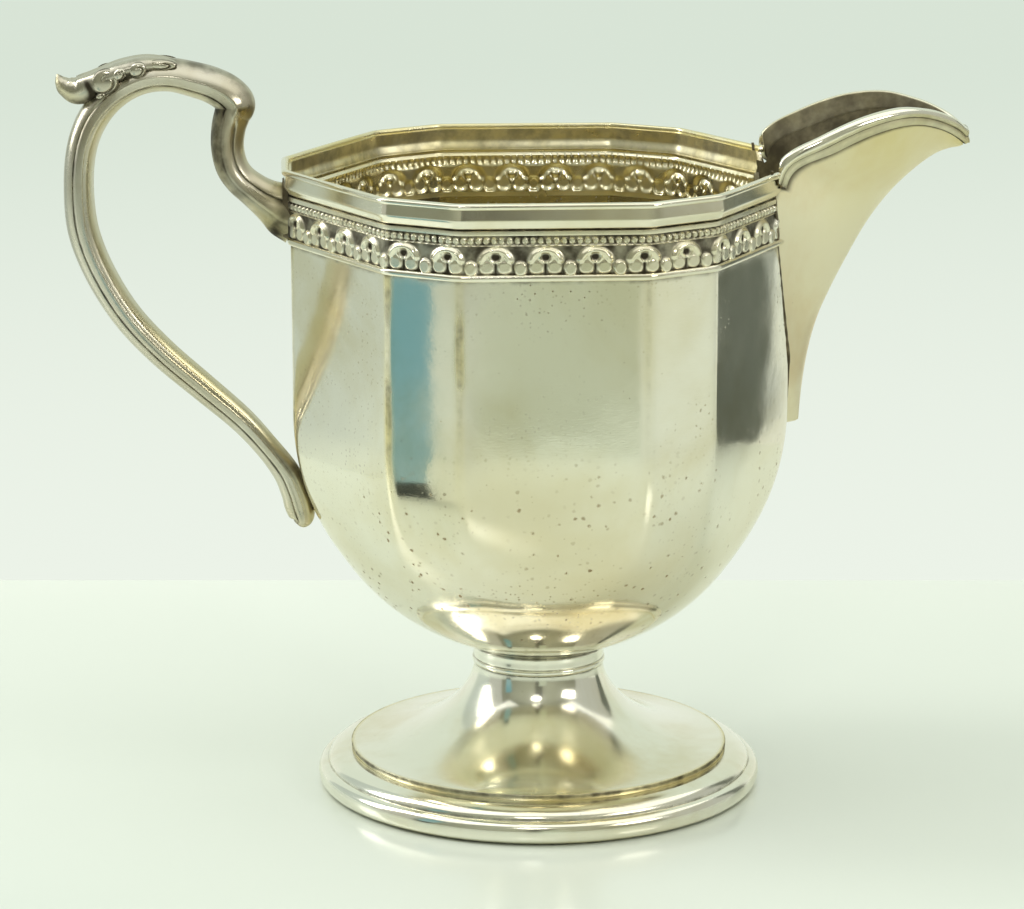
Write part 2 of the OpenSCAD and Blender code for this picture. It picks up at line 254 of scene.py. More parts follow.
def make_wall(name, outer, inner, open_from, inset, slot, nodes, relief=None, floor_cap=False):
    """A sheet that follows the plan. outer and inner are rows of (corner radius, z, sharpness, share of
    the panels, crown). Above open_from it is cut away behind the spout, up to inset short of the root's
    edge. relief gives the lift, the tarnish, with painted reflection along the bowl's corners, and the
    gilding at each point."""
    tip = COLUMNS[1]
    outer, inner = np.asarray(outer, float), np.asarray(inner, float)
    grids, soils, gilts = [], [], []
    for rows, inside in ((outer, False), (inner, True)):
        radius, z, sharp, share, crown = (rows[:, k:k + 1] for k in range(5))
        opening = np.where(outer[:, 1:2] >= open_from,
                           open_angle(outer[:, 1:2], np.maximum(outer[:, :1], 20), inset), tip)
        phi = bend_columns(COLUMNS[None, :] + 0 * z, np.maximum(opening, tip), tip)
        shape, middle = plan(phi, np.broadcast_to(sharp, phi.shape))
        r = radius * (1 + (shape - 1) * share) + crown * middle
        tarnish_and_shade, gilt = np.zeros_like(r), np.full_like(r, float(inside))
        if relief is not None:
            lift, tarnish_and_shade, gilt = relief(phi, z + 0 * phi, inside)
            r = r + lift
        grids.append(polar(r, phi, z).reshape(-1, 3))
        soils.append(tarnish_and_shade.ravel())
        gilts.append(gilt.ravel())
    rows_n, columns_n = r.shape
    quads = grid_faces(rows_n, columns_n, False, True)
    row, column = quads[:, 0] // columns_n, quads[:, 0] % columns_n
    behind = (column == 0) | (column == columns_n - 1)
    quads = quads[~(behind & (outer[row, 1] >= open_from))]
    faces = shell_faces(quads, r.size)
    polygons = []
    if floor_cap:
        on_floor = (faces % r.size < columns_n).all(1)
        faces = faces[~on_floor]
        polygons = [np.arange(columns_n)[::-1], np.arange(columns_n) + r.size]
    make(name, np.concatenate(grids), faces, polygons, slot, nodes, np.concatenate(soils), 50,
         np.concatenate(gilts))


# ---- finishes ----

class Finish:
    """A node material, built up a node at a time."""

    def __init__(self, name):
        self.material = bpy.data.materials.new(name)
        self.material.use_nodes = True
        self.tree = self.material.node_tree
        self.shader = self.tree.nodes["Principled BSDF"]
        self.place = self.node("ShaderNodeTexCoord", {}).outputs["Object"]

    def fill(self, node, sockets):
        """Sets each of the node's sockets to a value, or wires another node's output to it."""
        for key, value in sockets.items():
            socket = node.inputs[key]
            if isinstance(value, bpy.types.NodeSocket):
                self.tree.links.new(value, socket)
            else:
                socket.default_value = (*value, 1) if socket.type == "RGBA" else value
        return node

    def node(self, kind, sockets, **settings):
        made = self.tree.nodes.new(kind)
        for key, value in settings.items():
            setattr(made, key, value)
        return self.fill(made, sockets)

    def stretched(self, scale):
        """The object's coordinates, scaled differently along each axis."""
        return self.node("ShaderNodeMapping", {"Vector": self.place, "Scale": scale}).outputs["Vector"]

    def noise(self, scale, detail=4.0, place=None, roughness=0.55, distortion=0.0):
        made = self.node("ShaderNodeTexNoise", {
            "Vector": place or self.place, "Scale": scale, "Detail": detail,
            "Roughness": roughness, "Distortion": distortion})
        return made.outputs["Fac"]

    def spots(self, scale, size):
        """Uneven spots of a share of their cell's width, in under half of the cells."""
        warp = self.node("ShaderNodeTexNoise", {"Vector": self.place, "Scale": scale * 1.7})
        shift = self.node("ShaderNodeVectorMath", {0: warp.outputs["Color"], "Scale": 0.45 / scale},
                          operation="SCALE")
        bent = self.node("ShaderNodeVectorMath", {0: self.place, 1: shift.outputs["Vector"]},
                         operation="ADD")
        cells = self.node("ShaderNodeTexVoronoi", {"Vector": bent.outputs["Vector"], "Scale": scale})
        pick = self.node("ShaderNodeSeparateColor", {"Color": cells.outputs["Color"]})
        return self.times(self.ramp(cells.outputs["Distance"], size, size * 0.4),
                          self.ramp(pick.outputs["Red"], 0.50, 0.85))

    def ramp(self, value, start, end, low_value=0.0, high_value=1.0):
        """A smooth step from low_value at start to high_value at end; start may be above end."""
        if start > end:
            start, end, low_value, high_value = end, start, high_value, low_value
        made = self.node("ShaderNodeMapRange", {
            "Value": value, "From Min": start, "From Max": end, "To Min": low_value,
            "To Max": high_value}, interpolation_type="SMOOTHSTEP")
        return made.outputs["Result"]

    def math(self, operation, a, b, clamp=False):
        made = self.node("ShaderNodeMath", {0: a, 1: b}, operation=operation, use_clamp=clamp)
        return made.outputs["Value"]

    def times(self, a, b):
        return self.math("MULTIPLY", a, b)

    def mix(self, share, a, b):
        """Colour a where share is 0 and b where it is 1; each is a colour or a socket."""
        return self.node("ShaderNodeMix", {0: share, 6: a, 7: b}, data_type="RGBA").outputs[2]

    def part(self, place, axis):
        """One coordinate, X, Y or Z, of a place."""
        return self.node("ShaderNodeSeparateXYZ", {"Vector": place}).outputs[axis]

    def attribute(self, name):
        return self.node("ShaderNodeAttribute", {}, attribute_name=name).outputs["Fac"]

    def bump(self, parts):
        """Bump from (height socket, depth in metres) pairs, laid over each other."""
        below = {}
        for height, depth in parts:
            made = self.node("ShaderNodeBump", {"Strength": 1.0, "Distance": depth, "Height": height,
                                                **below})
            below = {"Normal": made.outputs["Normal"]}
        self.fill(self.shader, below)


# Colour of dark tarnish, and of the painted shade and painted reflection that the soil attribute carries
# in a few places.
BLACK_TARNISH_AND_SHADE = (0.055, 0.045, 0.032)
BROWN_TARNISH = (0.30, 0.22, 0.12)


def silver_plate(name, bright, warm, warm_share, rough, rough_spread, pits=0.0, satin_lines=0.0,
                 grain=0.18):
    """Silver plate: clouds of warm tarnish over the bright metal, brown pits on the lower bowl, a golden
    cast where the gilt attribute is high and dark tarnish where soil is, which in a few places is
    painted shade and painted reflection, with a ragged edge as strong as grain, fine polishing scratches
    and a slightly uneven surface."""
    f = Finish(name)
    clouds = f.noise(38, 5, roughness=0.6, distortion=0.4)
    fewer = 0.2 * (0.5 - warm_share)
    colour = f.mix(f.ramp(clouds, 0.40 + fewer, 0.72 + fewer), bright, warm)
    streaks = f.noise(1.0, 3, f.stretched((260, 260, 26)))
    colour = f.mix(f.ramp(streaks, 0.60, 0.85, 0, 0.35), colour, warm)
    specks = f.times(f.spots(1100, 0.16), f.ramp(f.noise(120, 2), 0.50, 0.62))
    roughness = f.ramp(f.noise(90, 5), 0.35, 0.75, rough, rough + rough_spread)
    if pits:
        height = f.part(f.place, "Z")
        rightward = f.ramp(f.part(f.place, "X"), -0.034, -0.008, 0.35, 1.0)
        patches = f.times(f.ramp(f.noise(75, 3), 0.42, 0.56), f.ramp(height, 0.064, 0.046))
        big = f.times(f.spots(880, 0.34), patches)
        small = f.times(f.spots(1600, 0.36), f.ramp(f.noise(52, 2), 0.42, 0.62))
        tarnish = f.times(f.ramp(f.noise(30, 4, distortion=0.6), 0.30, 0.62, 0.20, 0.85),
                          f.ramp(height, 0.062, 0.036))
        colour = f.mix(f.times(tarnish, rightward), colour, (0.72, 0.64, 0.43))
        pitted = f.times(f.math("MAXIMUM", big, f.times(f.times(small, rightward), 0.75)), pits)
        colour = f.mix(pitted, colour, BROWN_TARNISH)
        roughness = f.math("ADD", roughness, f.times(pitted, 0.35))
    colour = f.mix(f.times(specks, 0.5), colour, BROWN_TARNISH)
    cloth = f.ramp(f.noise(60, 4, distortion=0.5), 0.32, 0.68, 0.50, 1.0)
    gilt = f.times(f.attribute("gilt"), cloth)
    colour = f.mix(gilt, colour, (0.80, 0.70, 0.35))
    roughness = f.math("ADD", roughness, f.times(gilt, 0.26))
    # Dark tarnish from the soil attribute, with painted shade and painted reflection where the soil
    # marks them.
    shade_and_tarnish_amount = f.attribute("tarnish_and_shade")
    edge_noise = f.ramp(f.noise(420, 3), 0.25, 0.75, -grain, grain)
    shade_and_tarnish_amount = f.math("ADD", shade_and_tarnish_amount, f.times(edge_noise, f.ramp(shade_and_tarnish_amount, 0.02, 0.3)), True)
    colour = f.mix(f.ramp(shade_and_tarnish_amount, 0.05, 0.95), colour, BLACK_TARNISH_AND_SHADE)
    roughness = f.math("ADD", roughness, f.times(shade_and_tarnish_amount, 0.35))
    f.fill(f.shader, {"Base Color": colour, "Roughness": roughness, "Metallic": 1.0})
    scratches = f.noise(1.0, 2, f.stretched((900, 900, 4200)))
    parts = [(f.noise(55, 2), 0.00012), (f.noise(600, 3), 0.0000035), (scratches, 0.0000022)]
    if satin_lines:
        parts.append((f.noise(1.0, 3, f.stretched((1500, 1500, 240))), satin_lines))
    f.bump(parts)
    return f.material


SILVER, CREAM = (0.91, 0.88, 0.76), (0.80, 0.74, 0.55)
# The finish for each slot
finishes = {
    "bowl_plate": silver_plate("bowl_silver_plate", SILVER, CREAM, 0.5, 0.07, 0.08, pits=0.9),
    "band_plate": silver_plate("rolled_band_silver", SILVER, CREAM, 0.6, 0.12, 0.12),
    "lip_plate": silver_plate("lip_silver_plate", SILVER, CREAM, 0.4, 0.09, 0.10),
    "spout_plate": silver_plate("satin_spout_silver", (0.85, 0.78, 0.59), (0.74, 0.60, 0.38), 0.5,
                                0.30, 0.12, satin_lines=0.000002, grain=0.06),
    "edging_plate": silver_plate("edging_silver_plate", SILVER, CREAM, 0.4, 0.10, 0.12, grain=0.06),
    "handle_plate": silver_plate("cast_handle_silver", (0.63, 0.60, 0.51), (0.50, 0.45, 0.33), 0.6,
                                 0.18, 0.16),
    "foot_plate": silver_plate("bright_foot_silver", (0.93, 0.91, 0.80), CREAM, 0.5, 0.12, 0.10),
    "solder": silver_plate("tarnished_solder", (0.42, 0.36, 0.25), (0.22, 0.17, 0.10), 0.5, 0.35,
                           0.2),
}


# ---- bowl ----

# Where the opening behind the spout begins
OPENING_Z = 56.2


def make_bowl():
    """Quarter ellipse of depth ROUND_DEPTH below a straight wall, carried round the plan. Its
    twelve panels have their full share on the wall and fade to a circle towards the seat, where
    their corners also soften."""
    def rows(inside):
        shrink = WALL if inside else 0.0
        seat = SEAT_Z + shrink
        deepest = asin((ROUND_Z - seat) / (ROUND_DEPTH - shrink))
        turn = deepest * (1 - np.linspace(0, 1, 76))
        seat_r = (BOWL_R - shrink) * cos(deepest)
        r = np.concatenate([np.linspace(0.3, seat_r, 10)[:-1], (BOWL_R - shrink) * np.cos(turn),
                            np.full(46, BOWL_R - shrink)])
        z = np.concatenate([np.full(9, seat), ROUND_Z - (ROUND_DEPTH - shrink) * np.sin(turn),
                            np.linspace(ROUND_Z, BAND_Z, 47)[1:]])
        share = smooth(25, 52, z)
        sharp = 16 + 250 * smooth(34, 62, z)
        crown = 0.22 * share
        return np.stack([r, z, sharp, share, crown], -1)

    def unevenness(phi, z, inside):
        """Slow hand-worked ripples, a dark line along the corners of the panels that is painted
        reflection, and tarnish along the seat.
        """
        wall_r = 37
        lift = 0.035 * ripple(30 * np.cos(phi), 30 * np.sin(phi), z, 5.5)
        past = (phi + NARROW_HALF) % radians(60)
        near = np.minimum(np.minimum(past, np.abs(past - 2 * NARROW_HALF)), radians(60) - past)
        near = near * wall_r
        # The first term is painted reflection: a dark line along each panel corner. The second is the
        # tarnish along the seat, at the top of the wall under the band.
        tarnish_and_shade = 0.14 * hump(near, 0.5) * smooth(40, 66, z) + 0.5 * hump(z - BAND_Z + 0.15, 0.3)
        patchy = ripple(wall_r * np.cos(phi) + 9, wall_r * np.sin(phi), z * 0.6, 3.1)
        worn = (0.3 + 0.7 * smooth(-0.3, 0.5, patchy)) * hump(near - 0.25, 0.55) * smooth(46, 62, z)
        worn = worn * smooth(0.7, -0.2, np.cos(phi))
        tarnish_and_shade, gilt = tarnish_and_shade + 0.26 * worn, worn
        if inside:
            tarnish_and_shade = 0.02 + 0.25 * smooth(70, 30, z) + 0 * phi
            gilt = 0.25 + 0.75 * smooth(76, 40, z) + 0 * phi
        return lift, tarnish_and_shade, gilt

    make_wall("bowl", rows(False), rows(True), OPENING_Z, WALL, "bowl_plate", ["bowl"], unevenness,
              floor_cap=True)


# ---- band, mouldings and lip ----

ARCHES, BEADS = 33, 211
OUTLINE = 12 * (sin(NARROW_HALF) + sin(PANEL_HALF))
ARCH, BEAD = (OUTLINE * (BOWL_R + 0.2) / count for count in (ARCHES, BEADS))
FIRST_ARCH = 0.57


def outline_share(phi):
    """Share of the way round the straight-sided outline, from the middle of the spout's panel."""
    within = (phi + NARROW_HALF) % radians(60) - NARROW_HALF
    narrow = cos(NARROW_HALF) * np.tan(np.clip(within, -NARROW_HALF, NARROW_HALF))
    wide = cos(PANEL_HALF) * np.tan(np.clip(within - radians(30), -PANEL_HALF, PANEL_HALF))
    return np.round((phi - within) / radians(60)) / 6 + (narrow + wide + sin(PANEL_HALF)) / OUTLINE


def pillow(x, y, half_w, half_h, power=3.0):
    """Flat-topped cushion, 1 in the middle and 0 outside |x / w|^p + |y / h|^p = 1."""
    return smooth(0, 0.62, 1 - np.abs(x / half_w) ** power - np.abs(y / half_h) ** power)


def band_relief(phi, up):
    """Die-rolled pattern, as height and tarnish. In each cell an arched ridge stands over an eye
    and two petals with a slit between them, and a drop hangs between the cells; a thin line, a
    row of beads and a half-round fillet run above."""
    cell = outline_share(phi) * ARCHES - FIRST_ARCH
    across = ((cell + 0.5) % 1 - 0.5) * ARCH
    beside = (cell % 1 - 0.5) * ARCH
    oval = np.sqrt((across / 2.62) ** 2 + (np.maximum(up - 1.7, 0) / 2.1) ** 2)
    arch = 0.58 * hump(oval - 0.76, 0.20) * smooth(1.2, 2.0, up)
    eye_r = np.sqrt(across ** 2 + (up - 2.40) ** 2)
    eye = 0.42 * hump(eye_r - 0.82, 0.22) * smooth(1.3, 1.9, up)
    fill = 0.20 * (oval < 0.8) * smooth(0.35, 0.7, eye_r) * smooth(1.2, 1.8, up)
    petal = 0.30 * pillow(np.abs(across) - 1.26, up - 0.98, 1.20, 1.0, 2.4)
    drop = 0.46 * pillow(beside, up - 0.82, 1.06 - 0.10 * np.maximum(0.8 - up, 0), 1.16, 2.3)
    ornament = np.maximum.reduce([arch, eye, fill, petal, drop])
    bead_run = (outline_share(phi) * BEADS % 1 - 0.5) * BEAD
    bead = 0.42 * pillow(bead_run, up - 4.62, 0.46, 0.50)
    line = 0.26 * hump(up - 3.93, 0.10)
    fillet = 0.42 * pillow(0 * up, up - 5.66, 1.0, 0.44, 2.0)
    lift = np.maximum.reduce([ornament, bead, line, fillet])
    hollow = smooth(0.24, 0.02, lift) * smooth(-0.2, 0.1, up)
    slit = hump(across, 0.10) * smooth(1.8, 1.5, up) * smooth(0.0, 0.2, up)
    deep = hump(eye_r, 0.48) + 0.7 * slit + 0.7 * hump(up, 0.12) * (drop < 0.1)
    tarnish_and_shade = 0.56 * hollow + 0.5 * deep + 0.14 + 0.85 * by_handle(phi, 4.6, 1.7)
    return lift, np.clip(tarnish_and_shade, 0, 1)


def make_band():
    """The band's closed section carried round the plan from one side of the spout to the other.
    The inner face repeats the pattern the other way round, as rolling leaves it."""
    z_out = np.concatenate([np.linspace(-0.3, 3.9, 30), np.linspace(4.02, 6.1, 15)])
    z_in = np.concatenate([np.linspace(6.1, 4.0, 8), np.linspace(3.7, -0.3, 17)])
    up = np.concatenate([z_out, z_in])[None, :]
    outside = (np.arange(up.size) < len(z_out))[None, :]
    z = STRIP_Z + up * (COLLAR_Z - STRIP_Z) / 6.1
    gap = open_angle(z, BOWL_R, 0.5)
    phi = gap + np.linspace(0, 1, 1400)[:, None] * (2 * pi - 2 * gap)
    shape, middle = plan(phi, np.full_like(phi, 160.0))
    lift, tarnish_and_shade = band_relief(phi, up + 0 * phi)
    beside_spout = (phi < pi) * phi + (phi >= pi) * (2 * pi - phi)
    lift = lift * smooth(-0.2, 0.6, beside_spout * BOWL_R - root_w(z))
    relief = np.where(outside, lift, 0.8 * lift - 0.18)
    r = np.where(outside, BOWL_R - 0.05, BOWL_R - WALL + 0.05) * shape + 0.1 * middle + relief
    rings = polar(r, phi, z)
    tarnish_and_shade = np.where(outside, tarnish_and_shade, 0.10 * smooth(0.1, 0.4, lift))
    gilt = np.where(outside, 0.12 + 0 * phi, 0.55)
    make_tube("border_band", rings, "band_plate", ["border_band"], tarnish_and_shade, 50, gilt)


def flat_rows(r, z):
    """Rows for a strip on the full panels, with tight corners and hardly any crown."""
    r, z = np.broadcast_arrays(np.asarray(r, float), np.asarray(z, float))
    return np.stack([r, z, 200 + 0 * r, 1 + 0 * r, 0.1 + 0 * r], -1)


def collar_soil(phi, z, inside):
    """No lift; outside a dark line in the groove at the foot of the collar and dark tarnish on
    both sides of the handle, and inside a golden cast with an even tarnish."""
    below_lip = smooth(LIP_Z - 0.9, LIP_Z - 2, z)
    outside = 0.6 * hump(z - COLLAR_Z, 0.2) + 0.9 * by_handle(phi, 5.0, 1.5) * below_lip
    return 0 * phi, np.where(inside, 0.30, outside), np.where(inside, 0.9, 0.1) + 0 * phi


def make_mouldings():
    """Three strips round the plan: a half round below the band, the collar, whose face swells
    by a smooth step of 0.72 and then leans in, and a wire of round section along the lip."""
    turn = np.linspace(0, pi, 11)
    r = BOWL_R + 0.05 + 0.5 * np.sin(turn)
    z = (BAND_Z + STRIP_Z) / 2 - (STRIP_Z - BAND_Z) / 2 * np.cos(turn)
    make_wall("lower_moulding", flat_rows(r, z), flat_rows(BOWL_R - WALL, z),
              BAND_Z - 1, 0.5, "band_plate", ["lower_moulding"])

    z = COLLAR_Z + np.linspace(0, 1, 20) * (LIP_Z - 0.75 - COLLAR_Z)
    swell = 0.10 + 0.72 * smooth(COLLAR_Z, COLLAR_Z + 1.5, z) - 0.16 * np.clip(z - COLLAR_Z - 1.1, 0, 2)
    r = BOWL_R + 0.2 + swell - 0.3 * hump(z - COLLAR_Z, 0.14)
    make_wall("rim_collar", flat_rows(r, z), flat_rows(BOWL_R - 0.45 + 0.5 * swell, z),
              COLLAR_Z - 1, 0.0, "lip_plate", ["rim_collar"], collar_soil)

    turn = np.linspace(-pi / 2, pi / 2, 13)
    r = LIP_R - 0.50 + 0.50 * np.cos(turn)
    z = LIP_Z - 0.45 + 0.45 * np.sin(turn)
    inner_r = LIP_R - 0.85 - 0.30 * np.cos(turn)
    make_wall("rim_wire", flat_rows(r, z), flat_rows(inner_r, z), COLLAR_Z - 1, 0.0,
              "lip_plate", ["rim_wire"])


# ---- spout ----

def plan_x(r, v):
    """Distance from the axis to the plan's outline on the spout side, at half width v."""
    v = np.abs(v)
    slope = (r * cos(PANEL_HALF) - v * sin(radians(30))) / cos(radians(30))
    return np.where(v < r * sin(NARROW_HALF), r * cos(NARROW_HALF), slope)


def root_row(keel_x, keel_z, z):
    """A row of the spout whose edge lies on the bowl's wall at height z."""
    return [keel_x, keel_z, float(root_w(z)), float(plan_x(BOWL_R, root_w(z))), z]


# Rows of the spout: keel x and z, then half width, x and z of the root or of the mouth's edge
SPOUT = [
    root_row(38.7, 54.7, 55.0), root_row(39.1, 60, 62), root_row(39.9, 65.5, 70),
    root_row(41.2, 70.5, 77), root_row(43.1, 75, 83.5), root_row(45.6, 80, 90),
    [48.4, 85, 12.8, 34.2, 96], [51.6, 89.3, 13.2, 39.8, 99.4], [55, 92.6, 11.6, 46, 101.9],
    [58, 94.8, 8.9, 51.8, 102.9], [60.2, 95.7, 5.7, 56.5, 102.2], [61.9, 96.0, 3.1, 60.3, 100.7],
    [62.9, 96.5, 1.0, 62.5, 99.0]]
CORNER_ROW, NIB_ROW, LAST_ROW = 6.0, 11.6, 12.0
EDGING_START = CORNER_ROW - 0.5
EDGING_H = 3.4
KEEL_ROUND = 0.3


def keel_and_edge(t):
    """The keel's and the edge's point at row t; the tail of the keel curls in to the wall."""
    p = along(SPOUT, t)
    p[..., 0] -= 1.4 * np.clip(1 - t / 0.14, 0, 1) ** 2
    keel = np.stack([p[..., 0], 0 * p[..., 0], p[..., 1]], -1)
    return keel, np.stack([p[..., 3], p[..., 2], p[..., 4]], -1)


def sheet_share(t):
    """Share of the flank that the plain sheet takes below the edging."""
    keel, edge = keel_and_edge(t)
    begins = np.clip((t - EDGING_START + 0.14) / 0.12, 0, 1)
    begins = begins * (0.6 + 0.4 * smooth(EDGING_START, CORNER_ROW + 1.2, t))
    return np.clip(1 - begins * EDGING_H / np.linalg.norm(edge - keel, axis=-1), 0.02, 1)


def vee(s):
    """Rounded V: a hyperbola that is 0 at the keel and 1 at each edge."""
    return (np.sqrt(s ** 2 + KEEL_ROUND ** 2) - KEEL_ROUND) / (sqrt(1 + KEEL_ROUND ** 2) - KEEL_ROUND)


def flank(t, s):
    """Point of the spout at row t and share s of the way from the keel to the edge: straight in
    the half width and a rounded V in the other two directions."""
    keel, edge = keel_and_edge(t)
    reach = edge - keel
    v = vee(s)
    return np.stack([keel[..., 0] + reach[..., 0] * v, reach[..., 1] * s,
                     keel[..., 2] + reach[..., 2] * v], -1)


def unit(v):
    return v / np.maximum(np.linalg.norm(v, axis=-1, keepdims=True), 1e-9)


def flank_normal(t, s):
    """Outward normal of the flank, from two short differences across it."""
    t = np.clip(t, 0.03, LAST_ROW - 0.1)
    step = 0.02
    across = flank(t, s + step) - flank(t, s - step)
    return unit(np.cross(across, flank(t + step, s) - flank(t - step, s)))


def clear_of_wall(points, r):
    """Moves points that lie inside the plan's outline of radius r out to it."""
    x = np.maximum(points[..., 0], plan_x(r, points[..., 1]))
    return np.concatenate([x[..., None], points[..., 1:]], -1)


def make_spout():
    """A sheet folded to a rounded V, between the root and the line of the edging."""
    t, j = np.meshgrid(np.linspace(0, NIB_ROW - 0.2, 170), np.linspace(-1, 1, 97), indexing="ij")
    s = np.sign(j) * np.abs(j) ** 1.15 * sheet_share(t)
    normal = flank_normal(t, s)
    outer = clear_of_wall(flank(t, s), BOWL_R - 0.15)
    inner = clear_of_wall(flank(t, s) - 0.9 * normal, BOWL_R - 0.15)
    quads = grid_faces(*t.shape)
    points = np.concatenate([outer.reshape(-1, 3), inner.reshape(-1, 3)])
    at_edging = smooth(0.90, 1.0, np.abs(j)) * smooth(4.5, 5.5, t)
    at_root = smooth(0.965, 1.0, np.abs(j)) * smooth(5.6, 5.0, t)
    tarnish_and_shade = np.clip(0.75 * at_edging ** 2 + 0.5 * at_root, 0, 1)
    inner_soil = 0.74 + 0.04 * ripple(inner[..., 0], inner[..., 1], inner[..., 2], 2.5)
    worn = 0.75 * smooth(5.0, 8.0, t) * smooth(0.0, 0.8, np.abs(j)) + 0.15
    gilt = np.concatenate([(worn + 0 * t).ravel(), np.full(t.size, 1.0)])
    make("spout_shell", points, shell_faces(quads, t.size), [], "spout_plate", ["spout_shell"],
         np.concatenate([tarnish_and_shade.ravel(), inner_soil.ravel()]), 35, gilt)


# Section of the edging: share of its height down from the top edge, and how far it stands proud
EDGING = [[0.00, -0.62], [-0.05, -0.20], [0.00, 0.35], [0.12, 0.76], [0.26, 0.84], [0.38, 0.66],
          [0.45, 0.40], [0.51, 0.36], [0.60, 0.50], [0.74, 0.56], [0.88, 0.50], [0.97, 0.32],
          [1.02, 0.02], [1.02, -0.50], [0.98, -0.84], [0.60, -0.88], [0.30, -0.88], [0.08, -0.84]]


def make_edging():
    """The edging's section carried from the root round the tip and back to the root. Towards the
    tip the half width closes up, and both sides run together into the nib."""
    t_half = EDGING_START + (LAST_ROW - EDGING_START) * np.sin(np.linspace(0, pi / 2, 120))
    section = along(EDGING + EDGING[:1], np.linspace(0, len(EDGING), 54, endpoint=False))
    down, proud = section[None, :, 0], section[None, :, 1]
    t = t_half[:, None] + 0 * down
    share = sheet_share(t)
    s = 1 - np.clip(down, 0, 1.1) * (1 - share)
    over = -np.minimum(down, 0) * EDGING_H
    keel, edge = keel_and_edge(t)
    normal = flank_normal(t, np.full_like(t, 0.93))
    shrink = smooth(LAST_ROW + 0.25, LAST_ROW - 1.4, t)[..., None]
    shrink = shrink * (0.7 + 0.3 * smooth(EDGING_START, EDGING_START + 0.2, t)[..., None])
    lift = proud[..., None] * (0.55 + 0.45 * shrink)
    points = flank(t, s) + lift * normal + over[..., None] * unit(edge - keel)
    points[..., 1] = np.maximum(points[..., 1], 0.0)
    points[-1, :, 1] = 0
    points[-1, :, 0] += 0.35
    other = points[-2::-1] * np.array([1, -1, 1])
    rings = clear_of_wall(np.concatenate([points, other]), LIP_R - 0.1)
    outer_side = proud > -0.1
    groove = outer_side * (hump(down - 0.47, 0.04) * 0.4 + hump(down - 1.03, 0.06) * 0.9)
    within = smooth(-0.45, -0.75, proud) * smooth(0.03, 0.12, down)
    face = smooth(0.10, 0.20, down) * outer_side
    tarnish_and_shade = groove + 0.72 * within + 0.36 * face + 0.15 * hump(t - EDGING_START, 0.08)
    gilt = 0.85 * face + within + 0 * t
    tarnish_and_shade, gilt = (np.concatenate([a, a[-2::-1]]) for a in (np.clip(tarnish_and_shade, 0, 1), gilt))
    make_tube("spout_edge_wire", rings, "edging_plate", ["spout_edge_wire"], tarnish_and_shade, 60, gilt)


def make_seam():
    """A thin uneven bead of solder, round in section, down each side of the spout's root."""
    t = np.linspace(0.05, 5.75, 150)
    _, edge = keel_and_edge(t)
    for side, name in ((1, "spout_solder_seam"), (-1, "spout_solder_seam_far")):
        v, z = edge[:, 1] + 0.05, edge[:, 2]
        centre = np.stack([plan_x(BOWL_R + 0.25 * smooth(83, 85, z), v), side * v, z], -1)
        radius = 0.22 + 0.05 * ripple(t * 9, t * 4, t * 14, 1.0)
        turn = np.linspace(0, 2 * pi, 14, endpoint=False)
        across = np.stack([np.cos(turn), side * np.sin(turn), 0 * turn], -1)
        rings = centre[:, None] + radius[:, None, None] * across
        make_tube(name, rings, "solder", [name] if side == 1 else [], 0.55)


# ---- handle ----

HANDLE_D = 6.6
# Rows of the handle: x and z of its middle, width in its plane, depth as a share of HANDLE_D
HANDLE = [
    [-35.9, 87.2, 9.7, 1.06], [-37.2, 87.6, 8.6, 1.06], [-38.5, 88.3, 7.2, 1.06],
    [-40, 89.2, 5.9, 1.02], [-41.7, 90.4, 5.1, 1], [-43.6, 92, 4.8, 1],
    [-44.9, 94, 4.8, 1], [-45.5, 96.8, 4.8, 1], [-45.3, 99.6, 5, 1],
    [-44.7, 101.7, 5.3, 1.02], [-44.2, 103.1, 5.7, 1.04], [-45.2, 104.5, 5.6, 1.04],
    [-47.1, 105.7, 5.4, 1.04], [-49.6, 106.6, 5.2, 1.02], [-53.8, 107.5, 4.9, 1],
    [-58, 107, 4.8, 0.96], [-61.8, 104.8, 4.5, 0.92], [-64.8, 101.4, 4.5, 0.9],
    [-66.6, 97, 4.4, 0.9], [-67.2, 91.4, 4.4, 0.9], [-66.7, 84.8, 4.6, 0.92],
    [-64.4, 78.4, 4.6, 0.94], [-60.6, 72, 4.5, 0.94], [-55.6, 66.4, 4.4, 0.92],
    [-49.8, 61.2, 4.2, 0.9], [-44.2, 56.2, 3.9, 0.88], [-40.4, 51.9, 3.7, 0.86],
    [-37.7, 48.2, 4.0, 0.84], [-36.4, 45.2, 4.2, 0.84], [-35.7, 42.9, 4.4, 0.84],
    [-35.3, 41.1, 3.6, 0.84], [-35.8, 40.2, 1.8, 0.60]]
# Half sections of the casting, from its back to its inside: out along its plane, then sideways.
# On the arch a broad crown meets the side face in a ridge; on the long limb a groove runs along it.
ARCH_HALF = [[1.0, 0.0], [0.97, 0.22], [0.88, 0.42], [0.72, 0.60], [0.54, 0.74], [0.36, 0.86],
             [0.18, 0.95], [0.04, 1.0], [-0.06, 0.97], [-0.26, 0.94], [-0.44, 0.91], [-0.50, 0.84],
             [-0.57, 0.86], [-0.74, 0.70], [-0.92, 0.38], [-1.0, 0.0]]
LIMB_HALF = [[1.0, 0.0], [0.96, 0.26], [0.86, 0.47], [0.70, 0.64], [0.54, 0.75], [0.41, 0.80],
             [0.36, 0.75], [0.31, 0.82], [0.16, 0.92], [-0.04, 0.98], [-0.22, 1.0], [-0.32, 0.95],
             [-0.40, 0.93], [-0.62, 0.82], [-0.88, 0.46], [-1.0, 0.0]]


